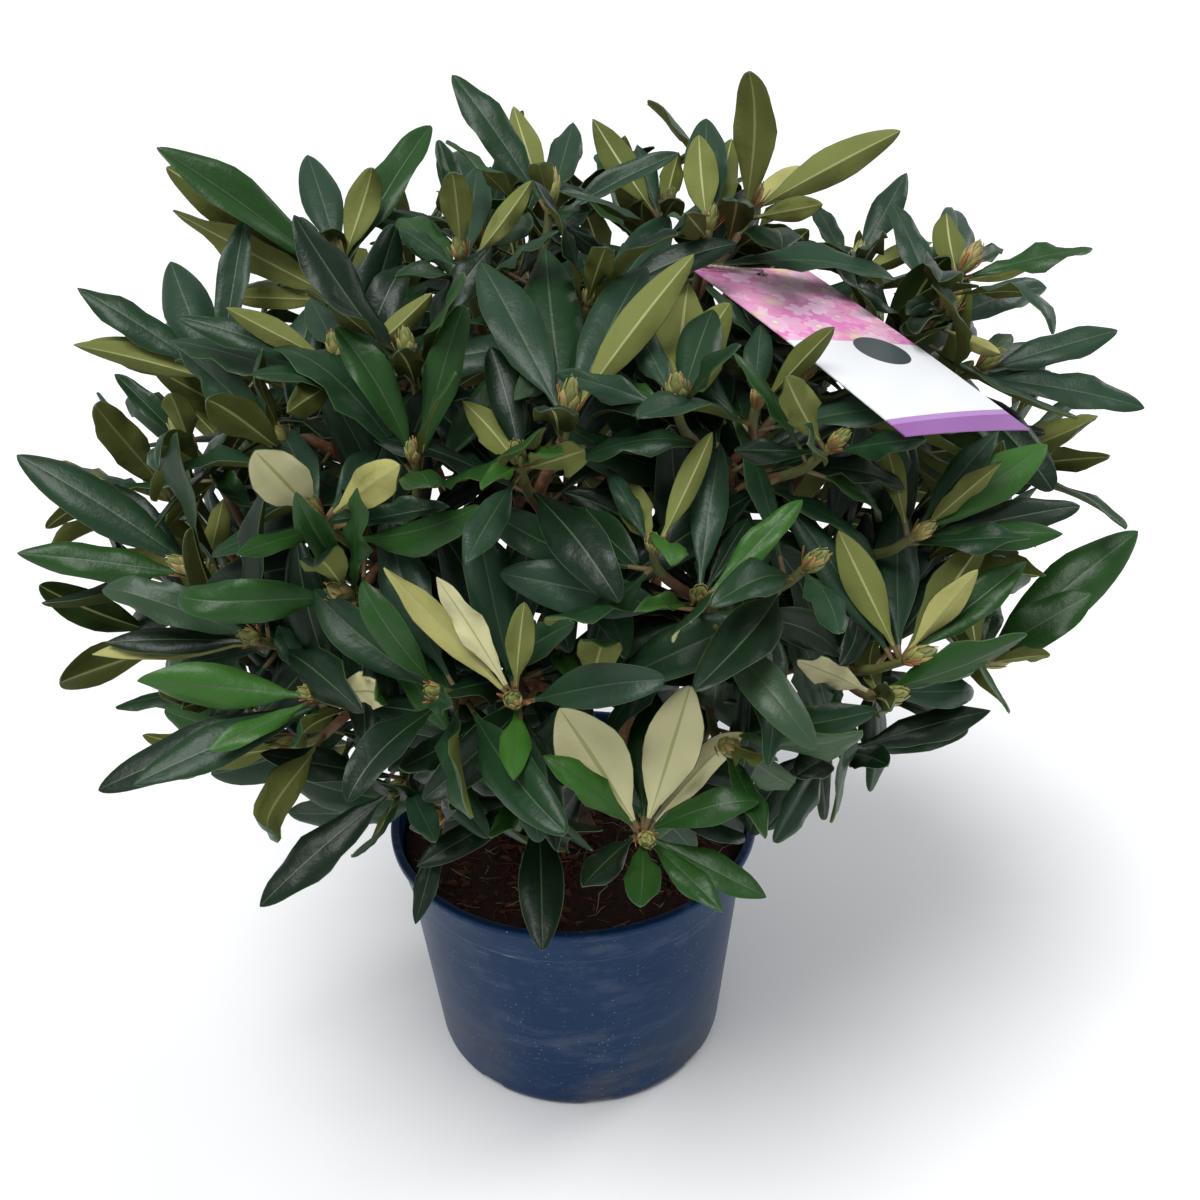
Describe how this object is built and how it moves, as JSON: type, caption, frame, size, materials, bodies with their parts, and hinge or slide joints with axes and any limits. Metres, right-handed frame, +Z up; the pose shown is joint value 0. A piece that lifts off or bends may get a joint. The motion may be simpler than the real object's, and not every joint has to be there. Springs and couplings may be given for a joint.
{
  "type": "potted rhododendron",
  "caption": "Bushy evergreen garden shrub with whorls of long leathery leaves, in a round nursery pot with a plant label.",
  "frame": {"origin": "centre of the pot's flat underside, on the surface that it stands on", "axes": "+Z up; -Y towards the front of the crown; +X to the right seen from the front, the side of the label"},
  "size_m": [0.6394, 0.6044, 0.6182],
  "materials": {
    "pot": "navy moulded plastic with a soft shine, dust specks and scuffs along the step",
    "peat": "damp dark red-brown peat and bark with fibres",
    "bark": "thin flaking orange-brown to grey bark",
    "foliage": "leathery dark green leaves, pale olive undersides, semi-gloss",
    "label": "printed card with a soft shine, plain pattern",
    "tie": "thin pale cord"
  },
  "bodies": {
    "root": {"pot": "pot", "peat": "peat", "trunk": "bark", "bough_front": "bark", "bough_front_low": "bark", "bough_front_high": "bark", "bough_right_front": "bark", "bough_front_right": "bark", "bough_right_front_high": "bark", "bough_right": "bark", "bough_right_low": "bark", "bough_right_high": "bark", "bough_back_right": "bark", "bough_back_right_high": "bark", "bough_back": "bark", "bough_back_high": "bark", "bough_back_left": "bark", "bough_back_left_high": "bark", "bough_left": "bark", "bough_left_high": "bark", "bough_front_left_low": "bark", "bough_front_left_high": "bark", "bough_top": "bark", "bough_top_right": "bark", "foliage_front": "foliage", "foliage_front_low": "foliage", "foliage_front_high": "foliage", "foliage_right_front": "foliage", "foliage_front_right": "foliage", "foliage_right_front_high": "foliage", "foliage_right": "foliage", "foliage_right_low": "foliage", "foliage_right_high": "foliage", "foliage_back_right": "foliage", "foliage_back_right_high": "foliage", "foliage_back": "foliage", "foliage_back_high": "foliage", "foliage_back_left": "foliage", "foliage_back_left_high": "foliage", "foliage_left": "foliage", "foliage_left_high": "foliage", "foliage_front_left_low": "foliage", "foliage_front_left_high": "foliage", "foliage_top": "foliage", "foliage_top_right": "foliage", "label": "label", "label_tie": "tie"}
  },
  "joints": []
}
